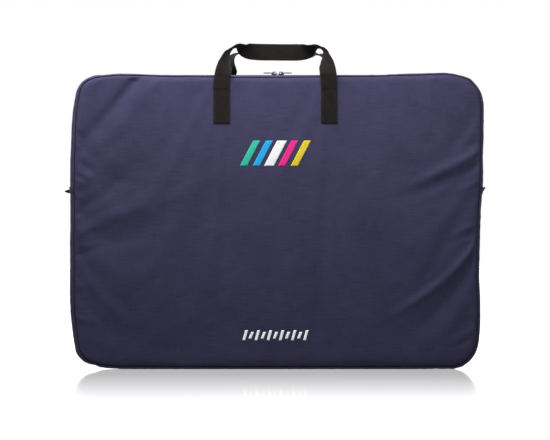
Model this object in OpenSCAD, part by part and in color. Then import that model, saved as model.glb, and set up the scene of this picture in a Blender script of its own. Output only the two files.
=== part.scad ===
// Padded zip-around carry bag for garments: two soft-sided panels, a gusset, a two-way coil zip
// and a pair of webbing handles. Millimetres, +Z up, front towards -Y, origin under the middle.

/* [Body] */
// Width of the body across the side seams
body_w = 750; // [640:1:860]
// Height of the body from the floor to its top seam
body_h = 535; // [480:1:640]
// Depth over the front and back covers
body_d = 88; // [76:1:120]
// Outer radius of the body's four corners
corner_r = 48; // [30:1:60]
// Height of the ends of the zip, where the front folds open
fold_z = 325; // [280:1:360]

/* [Layers] */
// Thickness of the outer fabric
cover_t = 1.2; // [0.8:0.1:1.5]
// Thickness of the foam in the panels
foam_t = 5; // [3:0.5:6]
// Thickness of the foam in the lower gusset
gusset_foam_t = 3; // [2:0.5:4]
// Thickness of the lining
lining_t = 0.8; // [0.5:0.1:1]
// Width of the tape that binds the seams inside
binding_w = 7; // [5:1:10]

/* [Zip] */
// Width of the open channel between the two zip gussets
zip_channel = 16; // [12:1:20]
// How far the tape runs under each zip gusset
tape_under = 8; // [6:1:10]
// Width of the closed coil
coil_w = 6; // [5:0.5:7]
// Height of the coil above its tape
coil_h = 2.2; // [1.8:0.1:2.4]
// Where the two sliders meet, to the right of the middle
zip_meet_x = 4; // [-10:1:10]
// Length of a pull from its pin to its tip
pull_l = 20; // [17:1:22]

/* [Handles] */
// Width of the webbing
webbing_w = 30; // [25:1:32]
// Thickness of the webbing
webbing_t = 2; // [1.5:0.1:2.2]
// Distance between the middles of a handle's two legs
handle_pitch = 195; // [180:1:230]
// Depth of a leg's sewn end below the top of the body
sewn_bottom = 88; // [70:1:110]
// Depth of the fold at the top of the sewn end below the top of the body
sewn_top = 30; // [25:1:35]

/* [Hidden] */
$fn = 64;

BACK = 1;
FRONT = -1;
LEFT = -1;
RIGHT = 1;

navy = [0.21, 0.2, 0.3];
dark_navy = [0.12, 0.11, 0.18];
foam_grey = [0.75, 0.75, 0.72];
lining_grey = [0.28, 0.28, 0.33];
webbing_black = [0.1, 0.1, 0.09];
gunmetal = [0.16, 0.16, 0.17];

// Gap at a joint between two bodies
joint_gap = 0.3;
// Face of each layer, measured in from the outside of the body
cover_in = body_d / 2 - cover_t;
foam_in = cover_in - foam_t;
lining_in = foam_in - lining_t;
gusset_in = cover_t + gusset_foam_t + lining_t;
zip_cover_t = 1.6;
tape_t = 0.8;
coil_slit = 0.6;
tape_slit = 0.9;
binding_t = 1.6;

// A side's own outline: the whole body, the part above the fold, or the part below it
WHOLE = [-1, body_h + 1];
ABOVE = [fold_z + joint_gap, body_h + 1];
BELOW = [-1, fold_z - joint_gap];

// ---- Outlines in the X-Z plane ----

module rounded_outline(inset) {
    half_w = body_w / 2 - inset;
    r = corner_r - inset;
    translate([-half_w + r, inset]) square([2 * (half_w - r), body_h - 2 * inset]);
    translate([-half_w, inset + r]) square([2 * half_w, body_h - 2 * (inset + r)]);
    for (x = [-half_w + r, half_w - r], z = [inset + r, body_h - inset - r])
        translate([x, z]) circle(r);
}

// The outline, inset, and cut to a range of heights
module panel_outline(inset, part) {
    intersection() {
        rounded_outline(inset);
        translate([-body_w, part[0]]) square([2 * body_w, part[1] - part[0]]);
    }
}

// A band that follows the outline, from one inset to a deeper one
module band_outline(inset, deep, part) {
    intersection() {
        difference() {
            rounded_outline(inset);
            rounded_outline(deep);
        }
        translate([-body_w, part[0]]) square([2 * body_w, part[1] - part[0]]);
    }
}

// Extrudes an X-Z outline along Y, between two distances from the middle on one side
module across(side, near, far) {
    y_high = side == FRONT ? -near : far;
    translate([0, y_high, 0]) rotate([90, 0, 0]) linear_extrude(far - near) children();
}

// ---- Panels and gussets ----

module panel_cover(side, part) {
    color(navy) across(side, cover_in, body_d / 2) panel_outline(0, part);
}

module panel_foam(side, part) {
    color(foam_grey) across(side, foam_in, cover_in) panel_outline(gusset_in, part);
}

module panel_lining(side, part) {
    color(lining_grey) across(side, lining_in, foam_in) panel_outline(gusset_in, part);
}

module seam_binding(side, part) {
    color(dark_navy) across(side, lining_in - binding_w, lining_in)
        band_outline(gusset_in, gusset_in + binding_t, part);
}

module lower_gusset_layer(inset, deep, tint) {
    color(tint) across(BACK, -cover_in, cover_in) band_outline(inset, deep, BELOW);
}

module zip_gusset_cover(side) {
    color(navy) across(side, zip_channel / 2, cover_in) band_outline(0, zip_cover_t, ABOVE);
}

module zip_gusset_lining(side) {
    color(lining_grey) across(side, zip_channel / 2 + tape_under / 4, cover_in)
        band_outline(zip_cover_t + tape_t, gusset_in, ABOVE);
}

// ---- Zip ----

module zip_tape(side) {
    color(dark_navy) across(side, tape_slit, zip_channel / 2 + tape_under)
        band_outline(zip_cover_t, zip_cover_t + tape_t, ABOVE);
}

// One half of the coil. The two halves stand a hair apart, and the sliders' dividers run in the slit
module zip_coil(side) {
    color(dark_navy) across(side, coil_slit, coil_w / 2)
        band_outline(zip_cover_t - coil_h, zip_cover_t, ABOVE);
}

// A fold of webbing that stands out of the side seam over the end of the zip
module zip_end_tab(side) {
    tab_out = 10.4;
    tab_h = 6.8;
    tab_w = 25;
    top_z = fold_z - joint_gap;
    color(webbing_black) across(BACK, -tab_w / 2, tab_w / 2)
        polygon([
            [side * body_w / 2, top_z],
            [side * body_w / 2, top_z - tab_h],
            [side * (body_w / 2 + tab_out - 1), top_z - tab_h / 2 - 0.6],
            [side * (body_w / 2 + tab_out), top_z - tab_h / 2 + 0.3],
            [side * (body_w / 2 + tab_out - 1), top_z - tab_h / 2 + 0.9]
        ]);
}

// Heights on the slider, from the floor
tape_z = body_h - zip_cover_t;
coil_top = tape_z + coil_h;
plate_t = 1.3;
plate_gap = 0.5;
slider_top = coil_top + plate_gap + plate_t;
slider_w = coil_w + 3.4;
slider_l = 11.4;
bridge_h = 4;
pin_r = 0.8;
pin_z = slider_top + 0.6 + pin_r;

// A slider's outline from above: wide at the nose, where the coils part, and narrow at the tail
module slider_outline() {
    nose_r = slider_l / 4;
    intersection() {
        translate([-slider_l / 2, -slider_w / 2]) square([slider_l, slider_w]);
        union() {
            polygon([
                [-slider_l / 2, -slider_w / 2 + 0.9],
                [0, -slider_w / 2],
                [slider_l / 2 - nose_r, -slider_w / 2],
                [slider_l / 2 - nose_r, slider_w / 2],
                [0, slider_w / 2],
                [-slider_l / 2, slider_w / 2 - 0.9]
            ]);
            for (y = [-1, 1])
                translate([slider_l / 2 - nose_r, y * (slider_w / 2 - nose_r)]) circle(nose_r);
            translate([slider_l / 2 - nose_r, -slider_w / 2 + nose_r])
                square([nose_r, slider_w - 2 * nose_r]);
        }
    }
}

// The arch on top of a slider, which holds the pull's pin
module slider_bridge() {
    bridge_l = 7.6;
    bridge_w = 2.2;
    wall = 1.5;
    rotate([90, 0, 0]) translate([0, 0, -bridge_w / 2]) linear_extrude(bridge_w)
        difference() {
            union() {
                translate([-bridge_l / 2, 0]) square([bridge_l, bridge_h - 1.8]);
                translate([-bridge_l / 2 + 1.8, 0]) square([bridge_l - 3.6, bridge_h]);
                for (x = [-1, 1])
                    translate([x * (bridge_l / 2 - 1.8), bridge_h - 1.8]) circle(1.8);
            }
            translate([-bridge_l / 2 + wall, -1])
                square([bridge_l - 2 * wall, bridge_h - 1.2 + 1]);
        }
}

// Drawn with its nose towards +X. The sliders meet nose to nose
module slider() {
    bottom_z = tape_z - tape_t - plate_gap - plate_t;
    top_plate_z = slider_top - plate_t;
    color(gunmetal) {
        translate([0, 0, bottom_z]) linear_extrude(plate_t) slider_outline();
        translate([0, 0, top_plate_z]) linear_extrude(plate_t) slider_outline();
        for (side = [-1, 1])
            translate([-slider_l / 2 + 0.6, side * (slider_w / 2 - 0.9) - 0.45, tape_z + 0.6])
                cube([slider_l - 3, 0.9, top_plate_z - tape_z - 0.5]);
        translate([1.2, -0.3, bottom_z + 0.5]) cube([2.8, 0.6, slider_top - bottom_z - 1]);
        translate([0, 0, slider_top - 0.05]) slider_bridge();
    }
}

// A pull lies along -X from its pin, which is at the origin
module pull() {
    eye_l = 5;
    cheek_w = 1.6;
    tip_r = 4.2;
    tab_t = 1.6;
    color(gunmetal) {
        rotate([90, 0, 0]) cylinder(r = pin_r, h = 6.2, center = true);
        translate([0, 0, -tab_t / 2]) {
            for (side = [-1, 1])
                translate([-eye_l - 1, side * (3.1 - cheek_w / 2) - cheek_w / 2, 0])
                    cube([eye_l + 1 + pin_r / 2, cheek_w, tab_t]);
            linear_extrude(tab_t) {
                polygon([
                    [-eye_l, -3.1], [-eye_l, 3.1],
                    [-eye_l - 3, 2.6],
                    [-pull_l + tip_r, tip_r], [-pull_l + tip_r, -tip_r],
                    [-eye_l - 3, -2.6]
                ]);
                translate([-pull_l + tip_r, 0]) circle(tip_r);
            }
            for (i = [0:3])
                translate([-pull_l + tip_r + 1 + 2.2 * i, 0, tab_t])
                    rotate([90, 0, 0]) cylinder(r = 0.45, h = 5.4 - 0.3 * i, center = true);
        }
    }
}

// Middle of each slider when the zip is shut
slider_x = slider_l / 2 + 0.3;

module zip_slider(side) {
    translate([zip_meet_x + side * slider_x, 0, 0]) rotate([0, 0, side == LEFT ? 0 : 180]) slider();
}

module zip_pull(side) {
    translate([zip_meet_x + side * slider_x, 0, pin_z])
        rotate([0, 0, side == LEFT ? 0 : 180]) pull();
}

// ---- Handles ----

// Middle plane of a handle's free leg, clear of the cover
leg_y = body_d / 2 + 0.8 + webbing_t / 2;

// Each station of a free leg, from its fold to the middle of the grip: how far inward of the leg's
// line, how far towards the middle of the body, how far above the body's top, and the direction
// from the webbing's outer edge to its inner edge (inward, towards the middle, up).
front_left_leg = [
    [0, 0, 0.6 - sewn_top, 1, 0, 0],
    [0, -0.1, -24, 1, 0, 0],
    [0.3, -0.5, -14, 1, 0, 0],
    [1.2, -0.3, -4, 1, 0, 0],
    [2.5, -0.3, 3, 1, 0.02, 0],
    [4.5, 4.2, 11, 0.88, 0.45, 0],
    [7, 13, 20.5, 0.68, 0.73, 0],
    [9.5, 20, 30, 0.48, 0.87, 0],
    [12, 25.5, 38, 0.25, 0.97, 0],
    [16, 28.2, 45.5, 0.1, 1, -0.05],
    [22.5, 28.8, 50.8, 0, 1, -0.1],
    [31, 29.6, 52, 0, 0.95, -0.3],
    [40, 33.6, 46.5, 0, 0.67, -0.74],
    [50, 39, 43, 0, 0.3, -0.95],
    [62, 42, 42.2, 0, 0.1, -1],
    [80, 43, 41.8, 0, 0, -1]
];
front_right_leg = [
    [0, 0, 0.6 - sewn_top, 1, 0, 0],
    [0, -0.1, -24, 1, 0, 0],
    [0.5, -0.5, -14, 1, 0, 0],
    [1, -0.3, -4, 1, 0, 0],
    [2, -0.3, 3, 1, 0.02, 0],
    [3.5, 4.2, 11, 0.95, 0.33, 0],
    [5.5, 12, 20, 0.8, 0.6, 0],
    [7.5, 19, 30, 0.5, 0.87, 0],
    [8.5, 25, 39, 0.25, 0.97, 0],
    [11, 28.2, 46.5, 0.08, 1, -0.05],
    [17, 28.8, 51.5, 0, 1, -0.1],
    [25.5, 29.6, 51.8, 0, 0.95, -0.3],
    [36, 33.2, 45.5, 0, 0.7, -0.7],
    [47, 38.6, 42.2, 0, 0.35, -0.95],
    [60, 42, 41.2, 0, 0.1, -1],
    [80, 43, 41.2, 0, 0, -1]
];
back_left_leg = [
    [0, 0, 0.6 - sewn_top, 1, 0, 0],
    [0, -0.1, -24, 1, 0, 0],
    [3, -0.5, -14, 1, 0, 0],
    [7.5, -0.5, -4, 1, 0, 0],
    [10, -0.4, 3.5, 1, 0.02, 0],
    [13, 4, 11, 0.9, 0.4, 0],
    [16, 13, 19, 0.68, 0.73, 0],
    [19.5, 21, 28.5, 0.4, 0.9, 0],
    [24, 26, 36, 0.15, 0.98, 0],
    [30.5, 28.2, 41, 0, 1, -0.1],
    [38.5, 29.4, 43.5, 0, 0.93, -0.36],
    [47.5, 33.8, 43.5, 0, 0.66, -0.75],
    [57, 39, 42.5, 0, 0.3, -0.95],
    [69, 42, 42, 0, 0.08, -1],
    [85, 43, 41.6, 0, 0, -1]
];
back_right_leg = [
    [0, 0, 0.6 - sewn_top, 1, 0, 0],
    [0, -0.1, -24, 1, 0, 0],
    [0.5, -0.5, -14, 1, 0, 0],
    [1, -0.5, -4, 1, 0, 0],
    [1.5, -0.4, 3.5, 1, 0.02, 0],
    [2.8, 4, 11, 0.9, 0.4, 0],
    [4.5, 13, 19, 0.68, 0.73, 0],
    [8, 21, 28.5, 0.4, 0.9, 0],
    [13, 26, 34.5, 0.15, 0.98, 0],
    [20, 28.2, 38.5, 0, 1, -0.1],
    [29, 29.4, 41, 0, 0.93, -0.36],
    [39, 33.8, 42.5, 0, 0.66, -0.75],
    [50, 39, 42, 0, 0.3, -0.95],
    [64, 42, 41.8, 0, 0.08, -1],
    [82, 43, 41.6, 0, 0, -1]
];

function unit(v) = v / norm(v);

function placed(station, x_side, y_side) = [
    x_side * (handle_pitch / 2 - station[0]),
    y_side * (leg_y - station[1]),
    body_h + station[2],
    -x_side * station[3],
    -y_side * station[4],
    station[5]
];

function reversed(list) = [for (i = [len(list) - 1:-1:0]) list[i]];

// The whole strap, from the left fold over the grip to the right fold
function strap_stations(left, right, y_side) = concat(
    [for (s = left) placed(s, LEFT, y_side)],
    reversed([for (s = right) placed(s, RIGHT, y_side)])
);

// Catmull-Rom curve through four values, and its slope
function curve(a, b, c, d, t) =
    b + (c - a) * t / 2 + (2 * a - 5 * b + 4 * c - d) * t * t / 2
    + (3 * b - a - 3 * c + d) * t * t * t / 2;
function slope(a, b, c, d, t) =
    (c - a) / 2 + (2 * a - 5 * b + 4 * c - d) * t + (3 * b - a - 3 * c + d) * 3 * t * t / 2;

// A station's own place and edge direction
function place(s) = [s[0], s[1], s[2]];
function edge(s) = [s[3], s[4], s[5]];

strap_steps = 2;

function ring(p, i, t) =
    let (
        last = len(p) - 1,
        a = p[max(i - 1, 0)],
        b = p[i],
        c = p[min(i + 1, last)],
        d = p[min(i + 2, last)],
        at = curve(place(a), place(b), place(c), place(d), t),
        along = unit(slope(place(a), place(b), place(c), place(d), t)),
        raw = edge(b) + (edge(c) - edge(b)) * t,
        over = unit(raw - along * (raw * along)) * webbing_w / 2,
        out = unit(cross(along, over)) * webbing_t / 2
    )
    [at - over - out, at + over - out, at + over + out, at - over + out];

module strap(stations) {
    last = len(stations) - 1;
    rings = concat(
        [for (i = [0:last - 1], k = [0:strap_steps - 1]) ring(stations, i, k / strap_steps)],
        [ring(stations, last - 1, 1)]
    );
    n = len(rings);
    points = [for (r = rings, corner = r) corner];
    sides = [
        for (i = [0:n - 2], k = [0:3])
        let (a = 4 * i + k, b = 4 * i + (k + 1) % 4)
        each [[a, a + 4, b], [b, a + 4, b + 4]]
    ];
    last_ring = 4 * (n - 1);
    ends = [
        [0, 2, 3], [0, 1, 2],
        [last_ring, last_ring + 2, last_ring + 1], [last_ring, last_ring + 3, last_ring + 2]
    ];
    color(webbing_black) polyhedron(points, concat(sides, ends));
}

module sewn_ends(side) {
    leg_h = sewn_bottom - sewn_top;
    color(webbing_black) for (x = [-1, 1])
        translate([
            x * handle_pitch / 2 - webbing_w / 2,
            side == FRONT ? -body_d / 2 - webbing_t : body_d / 2,
            body_h - sewn_bottom
        ])
            cube([webbing_w, webbing_t, leg_h]);
}

// ---- Decoration ----

motif_t = 0.6;

// A slanted bar on the front cover, centred on a point
module slanted_bar(x, z, w, h, lean) {
    across(FRONT, body_d / 2, body_d / 2 + motif_t)
        polygon([
            [x - w / 2 - lean / 2, z - h / 2],
            [x + w / 2 - lean / 2, z - h / 2],
            [x + w / 2 + lean / 2, z + h / 2],
            [x - w / 2 + lean / 2, z + h / 2]
        ]);
}

module front_emblem() {
    bar_h = 46;
    lean = 24;
    pitch = 23;
    widths = [13, 13, 18, 13, 13];
    tints = ["mediumaquamarine", "deepskyblue", "white", "deeppink", "gold"];
    for (i = [0:4])
        color(tints[i]) slanted_bar((i - 2) * pitch, 392, widths[i], bar_h, lean);
}

module front_lower_motif() {
    count = 11;
    pitch = 11;
    color("white") for (i = [0:count - 1])
        slanted_bar((i - (count - 1) / 2) * pitch, 62, 5, i % 2 == 0 ? 18 : 12, 5);
}

// ---- Nodes ----

panel_cover(BACK, WHOLE);  // back_panel_cover
panel_foam(BACK, WHOLE);  // back_panel_foam
panel_lining(BACK, WHOLE);  // back_panel_lining
seam_binding(BACK, WHOLE);  // back_seam_binding
panel_cover(FRONT, BELOW);  // front_lower_cover
panel_foam(FRONT, BELOW);  // front_lower_foam
panel_lining(FRONT, BELOW);  // front_lower_lining
seam_binding(FRONT, BELOW);  // front_lower_binding
lower_gusset_layer(0, cover_t, navy);  // lower_gusset_cover
lower_gusset_layer(cover_t, cover_t + gusset_foam_t, foam_grey);  // lower_gusset_foam
lower_gusset_layer(cover_t + gusset_foam_t, gusset_in, lining_grey);  // lower_gusset_lining
zip_gusset_cover(BACK);  // back_zip_gusset_cover
zip_gusset_lining(BACK);  // back_zip_gusset_lining
zip_tape(BACK);  // back_zip_tape
zip_coil(BACK);  // back_zip_coil
zip_end_tab(LEFT);  // zip_end_tab_left
zip_end_tab(RIGHT);  // zip_end_tab_right
sewn_ends(BACK);  // back_handle_sewn_ends
front_lower_motif();
panel_cover(FRONT, ABOVE);  // front_flap_cover
panel_foam(FRONT, ABOVE);  // front_flap_foam
panel_lining(FRONT, ABOVE);  // front_flap_lining
seam_binding(FRONT, ABOVE);  // front_flap_binding
zip_gusset_cover(FRONT);  // front_zip_gusset_cover
zip_gusset_lining(FRONT);  // front_zip_gusset_lining
zip_tape(FRONT);  // front_zip_tape
zip_coil(FRONT);  // front_zip_coil
sewn_ends(FRONT);  // front_handle_sewn_ends
front_emblem();
strap(strap_stations(front_left_leg, front_right_leg, FRONT));  // front_handle_strap
strap(strap_stations(back_left_leg, back_right_leg, BACK));  // back_handle_strap
zip_slider(LEFT);  // zip_slider_left
zip_slider(RIGHT);  // zip_slider_right
zip_pull(LEFT);  // zip_pull_left
zip_pull(RIGHT);  // zip_pull_right
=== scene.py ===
"""Padded garment bag: soft panels, gussets, coil zip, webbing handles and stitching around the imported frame."""
import math

import bmesh
import bpy
import numpy as np
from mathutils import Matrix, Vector


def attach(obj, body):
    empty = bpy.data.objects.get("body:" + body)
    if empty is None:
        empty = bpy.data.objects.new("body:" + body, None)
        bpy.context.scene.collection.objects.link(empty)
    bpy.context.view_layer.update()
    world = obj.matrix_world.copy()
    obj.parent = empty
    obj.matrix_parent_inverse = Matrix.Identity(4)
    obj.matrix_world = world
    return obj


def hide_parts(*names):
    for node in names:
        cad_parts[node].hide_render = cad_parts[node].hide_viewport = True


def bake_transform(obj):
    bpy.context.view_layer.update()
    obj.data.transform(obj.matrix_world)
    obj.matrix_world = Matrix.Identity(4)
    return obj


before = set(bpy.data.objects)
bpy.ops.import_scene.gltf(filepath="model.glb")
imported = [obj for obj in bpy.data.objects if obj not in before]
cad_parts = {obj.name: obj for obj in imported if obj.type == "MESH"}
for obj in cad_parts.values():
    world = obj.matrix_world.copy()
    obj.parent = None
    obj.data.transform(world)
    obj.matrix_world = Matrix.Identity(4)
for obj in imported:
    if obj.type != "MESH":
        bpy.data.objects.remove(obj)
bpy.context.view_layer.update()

HALF_W, HEIGHT = 0.375, 0.535
SEAM_Y = 0.0378            # distance of the front and back seams from the middle plane
ZIP_END = 0.325            # height of the ends of the zip
SHELL, FLAP = "back_shell", "front_flap"
FRONT, BACK = -1, 1
SIDES = ((FRONT, "front"), (BACK, "back"))
RADII = {"tl": 0.034, "tr": 0.052, "br": 0.050, "bl": 0.030}
SEAM_INSET = {"left": 0.0080, "right": 0.0050, "top": 0.0030, "bottom": 0.0062}
SEAM_RADIUS_LESS = 0.0045


# ---- small helpers ----

def smooth(t):
    t = np.clip(t, 0, 1)
    return t * t * (3 - 2 * t)


def knots(x, pairs):
    """A smooth curve through pairs of millimetres, answered in metres."""
    xs, ys = np.array(pairs, float).T / 1000
    slope = np.gradient(ys, xs)
    i = np.clip(np.searchsorted(xs, x, side="right") - 1, 0, len(xs) - 2)
    h = xs[i + 1] - xs[i]
    t = np.clip((x - xs[i]) / h, 0, 1)
    return ((2 * t ** 3 - 3 * t ** 2 + 1) * ys[i] + (t ** 3 - 2 * t ** 2 + t) * h * slope[i]
            + (3 * t ** 2 - 2 * t ** 3) * ys[i + 1] + (t ** 3 - t ** 2) * h * slope[i + 1])


def unit(v):
    return v / np.maximum(np.linalg.norm(v, axis=-1, keepdims=True), 1e-12)


def wobble(t, seed, waves=6, low=8.0, high=60.0):
    """A soft irregular wave along t, between about -1 and 1."""
    rng = np.random.default_rng(seed)
    total = np.zeros_like(t, float)
    for _ in range(waves):
        total += np.sin(t * rng.uniform(low, high) + rng.uniform(0, 6.28))
    return total / math.sqrt(waves)


def clouds(x, z, seed, size):
    """Soft irregular unevenness over a panel, with lumps of about the given size."""
    rng = np.random.default_rng(seed)
    total = np.zeros_like(x, float)
    for _ in range(9):
        angle = rng.uniform(0, math.pi)
        k = 2 * math.pi / (size * rng.uniform(0.7, 1.8))
        total += np.sin(k * (x * math.cos(angle) + z * math.sin(angle)) + rng.uniform(0, 6.28))
    return total / 3


# How far the soft body's edges lean and sag away from the true rounded rectangle, in millimetres: the
# sides by height, and the top and bottom along the width
LEFT_IN = [(-5, 12.6), (18, 12.2), (34, 10.6), (50, 8.3), (64, 6.8), (80, 4.8), (99, 2.8), (121, 1.7),
           (164, 1.5), (208, 1.4), (230, 0.9), (252, 1.6), (296, 1.8), (339, 1.6), (383, 2.3), (405, 3.2),
           (427, 3.6), (449, 4.6), (471, 6.7), (485, 8.8), (496, 10.9), (507, 13.2), (518, 15.8), (529, 19.0),
           (545, 20.5)]
RIGHT_OUT = [(-5, -7.8), (30, -6.8), (42, -6.0), (53, -5.0), (64, -3.9), (77, -3.0), (99, -2.7), (121, -2.9),
             (143, -3.5), (164, -4.6), (186, -4.4), (230, -3.5), (252, -3.0), (274, -1.9), (296, -0.8),
             (317, 0.9), (339, 1.8), (361, 2.7), (383, 2.2), (405, 3.1), (427, 3.7), (449, 3.7), (471, 4.0),
             (490, 3.0), (545, 3.4)]
TOP_UP = [(-385, 0), (-358, 0), (-351, -1.7), (-345, -2.0), (-335, -1.2), (-320, 0.1), (-300, 1.4), (-280, 1.7),
          (-250, 1.4), (-210, 0), (-155, -0.8), (-118, -1.0), (-80, -2.0), (0, -2.0), (60, -1.4), (118, -0.3),
          (155, -0.5), (191, 0.2), (228, 1.5), (264, 2.2), (283, 3.0), (308, 3.5), (315, 2.8), (323, 1.8),
          (330, 0.3), (344, 0), (352, 0.5), (359, -0.7), (366, -1.5), (385, -1.5)]
BOTTOM_UP = [(-385, 9.2), (-360, 9.1), (-353, 8.4), (-345, 7.7), (-337, 5.8), (-329, 3.0), (-320, 1.8),
             (-289, 0.4), (-250, 0), (385, 0)]


def warp(x, y, z):
    """The soft body's lean and sag."""
    side = smooth((np.abs(x) / HALF_W - 0.62) / 0.36)
    shoulder = smooth((np.abs(y) - 0.006) / 0.018)
    new_x = x + side * np.where(x < 0, knots(z, LEFT_IN), knots(z, RIGHT_OUT))
    new_z = (z + shoulder * smooth((z - 0.40) / 0.12) * knots(x, TOP_UP)
             + smooth(1 - z / 0.07) * knots(x, BOTTOM_UP))
    return new_x, y, np.maximum(new_z, 0.0002)


def warped(points):
    return np.stack(warp(*points.T), axis=1)


# ---- outlines ----

def bounds_of(inset_scale):
    """(left, right, bottom, top, radii) of the seam outline at 1, or of the outer outline at 0."""
    s = {k: v * inset_scale for k, v in SEAM_INSET.items()}
    radii = {k: r - SEAM_RADIUS_LESS * inset_scale for k, r in RADII.items()}
    return -HALF_W + s["left"], HALF_W - s["right"], s["bottom"], HEIGHT - s["top"], radii


def run(inset_scale, part, end_z, step=0.0032):
    """Points and outward directions along the upper arch or the lower U of an outline, left to right."""
    xl, xr, zb, zt, r = bounds_of(inset_scale)
    first, last, turn = ("tl", "tr", -1) if part == "arch" else ("bl", "br", 1)
    z_end = zt if part == "arch" else zb
    up = -turn
    n_left = max(2, int(abs((HEIGHT if part == "arch" else 0) - end_z) / step))
    n_flat = int(2 * HALF_W / step)
    n_arc = 30
    points, normals = [], []

    def line(a, b, normal, n):
        for t in np.linspace(0, 1, n, endpoint=False):
            points.append([a[0] + (b[0] - a[0]) * t, a[1] + (b[1] - a[1]) * t])
            normals.append(normal)

    def arc(centre, radius, a0, a1):
        for t in np.linspace(0, 1, n_arc, endpoint=False):
            a = math.radians(a0 + (a1 - a0) * t)
            points.append([centre[0] + radius * math.cos(a), centre[1] + radius * math.sin(a)])
            normals.append([math.cos(a), math.sin(a)])

    line((xl, end_z), (xl, z_end - up * r[first]), [-1, 0], n_left)
    arc((xl + r[first], z_end - up * r[first]), r[first], 180, 180 - up * 90)
    line((xl + r[first], z_end), (xr - r[last], z_end), [0, up], n_flat)
    arc((xr - r[last], z_end - up * r[last]), r[last], up * 90, 0)
    line((xr, z_end - up * r[last]), (xr, end_z), [1, 0], n_left)
    points.append([xr, end_z])
    normals.append([1, 0])
    return np.array(points), np.array(normals)


def along(points):
    """Distance travelled along a run of points."""
    steps = np.linalg.norm(np.diff(points, axis=0), axis=1)
    return np.concatenate([[0], np.cumsum(steps)])


def sample(at, s, values):
    """Values given at distances s, read at the distances at."""
    return np.stack([np.interp(at, s, column) for column in values.T], 1)


def depth_inside(x, z):
    """Distance in from the seam outline, in the plane of the panel."""
    xl, xr, zb, zt, r = bounds_of(1)
    radius = np.where(z > HEIGHT / 2, np.where(x < 0, r["tl"], r["tr"]), np.where(x < 0, r["bl"], r["br"]))
    cx, cz = (xl + xr) / 2, (zb + zt) / 2
    qx = np.abs(x - cx) - (xr - xl) / 2 + radius
    qz = np.abs(z - cz) - (zt - zb) / 2 + radius
    outside = np.hypot(np.maximum(qx, 0), np.maximum(qz, 0))
    return radius - outside - np.minimum(np.maximum(qx, qz), 0)


# ---- meshes ----

def mesh_object(name, points, faces, material, uv=None, wear=None):
    """A smooth-shaded mesh, with UVs in metres and how worn each point is."""
    me = bpy.data.meshes.new(name)
    me.from_pydata(np.asarray(points, float).tolist(), [], [list(map(int, f)) for f in faces])
    me.update()
    if uv is not None:
        layer = me.uv_layers.new(name="UVMap")
        loops = np.zeros(len(me.loops), int)
        me.loops.foreach_get("vertex_index", loops)
        layer.data.foreach_set("uv", np.asarray(uv, float)[loops].astype(np.float32).ravel())
    attribute = me.attributes.new("wear", "FLOAT", "POINT")
    values = np.zeros(len(me.vertices)) if wear is None else wear
    attribute.data.foreach_set("value", np.asarray(values, np.float32))
    bm = bmesh.new()
    bm.from_mesh(me)
    bmesh.ops.recalc_face_normals(bm, faces=bm.faces)
    bm.to_mesh(me)
    bm.free()
    me.polygons.foreach_set("use_smooth", np.ones(len(me.polygons), bool))
    me.materials.append(material)
    ob = bpy.data.objects.new(name, me)
    bpy.context.scene.collection.objects.link(ob)
    return ob


def grid_faces(rows, cols, wrap=False):
    """Quads of a grid of points stored row by row. wrap joins the last column to the first."""
    r, c = np.meshgrid(np.arange(rows - 1), np.arange(cols if wrap else cols - 1), indexing="ij")
    n = (c + 1) % cols
    quads = np.stack([r * cols + c, r * cols + n, (r + 1) * cols + n, (r + 1) * cols + c], -1)
    return quads.reshape(-1, 4)


def slab(name, outer, inner, rows, cols, material, uv, wear=None):
    """A closed sheet between two matching grids of points."""
    n = rows * cols
    rim = np.concatenate([
        np.arange(cols), np.arange(1, rows) * cols + cols - 1,
        (rows - 1) * cols + np.arange(cols - 2, -1, -1), np.arange(rows - 2, 0, -1) * cols])
    after = np.roll(rim, -1)
    walls = np.stack([rim, after, after + n, rim + n], -1)
    faces = np.concatenate([grid_faces(rows, cols), grid_faces(rows, cols)[:, ::-1] + n, walls])
    wear = None if wear is None else np.concatenate([wear, wear])
    return mesh_object(name, np.concatenate([outer, inner]), faces, material, np.concatenate([uv, uv]), wear)


def tube_faces(rows, cols):
    """Faces of a swept closed section, with both ends capped."""
    caps = [list(range(cols))[::-1], [(rows - 1) * cols + i for i in range(cols)]]
    return [*grid_faces(rows, cols, wrap=True).tolist(), *caps]


def strip(name, part, end_z, section, material):
    """Sweeps a closed section along the outline. section(s) takes the distances along the run and gives
    a list of (y, outset from the outer outline, share of the way in to the seam)."""
    outer, normal = run(0, part, end_z)
    seam, _ = run(1, part, end_z)
    s = along(outer)
    rows, loop = [], section(s)
    for y, outset, to_seam in loop:
        base = outer + (seam - outer) * np.broadcast_to(to_seam, s.shape)[:, None]
        base = base + normal * np.broadcast_to(outset, s.shape)[:, None]
        rows.append(np.stack([base[:, 0], np.broadcast_to(y, s.shape), base[:, 1]], 1))
    rows = np.array(rows).transpose(1, 0, 2)
    gaps = np.linalg.norm(np.diff(rows, axis=1), axis=2)
    across = np.concatenate([np.zeros((len(s), 1)), np.cumsum(gaps, axis=1)], axis=1)
    uvs = np.stack([np.repeat(s[:, None], rows.shape[1], 1), across], -1).reshape(-1, 2)
    near = np.array([np.broadcast_to(share, s.shape) for _, _, share in loop]).T.reshape(-1)
    points = warped(rows.reshape(-1, 3))
    return mesh_object(name, points, tube_faces(len(s), len(loop)), material, uvs, near)


# ---- materials ----

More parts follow.
